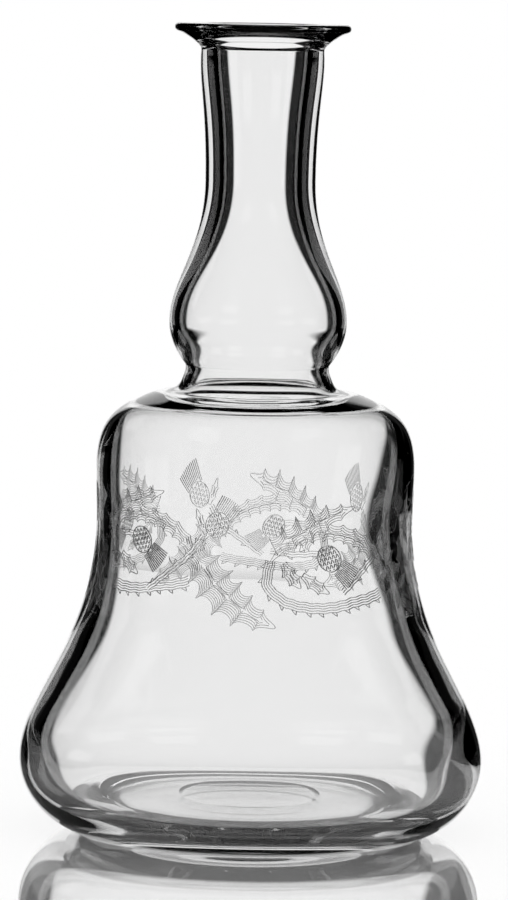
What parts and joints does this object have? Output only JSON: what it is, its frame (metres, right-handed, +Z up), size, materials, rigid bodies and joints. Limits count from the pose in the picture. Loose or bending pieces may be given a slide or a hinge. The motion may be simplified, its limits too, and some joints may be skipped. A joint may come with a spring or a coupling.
{
  "type": "decanter",
  "caption": "Bell-shaped decanter of clear blown glass with a bulbed neck, a flat applied lip, a pushed-up base and an etched band of thistles.",
  "frame": {"origin": "middle of the ground ring that the decanter stands on, at table level", "axes": "+Z up along the axis of the glass; X and Y are alike, with the pictured side of the etched band towards -Y"},
  "size_m": [0.1436, 0.1436, 0.25],
  "materials": {
    "clear_glass": "fire-polished clear glass, very slightly grey",
    "etched_glass": "fine frosted needle-etched lines"
  },
  "bodies": {
    "root": {"bell_body": "clear_glass", "neck": "clear_glass", "lip": "clear_glass"}
  },
  "joints": []
}
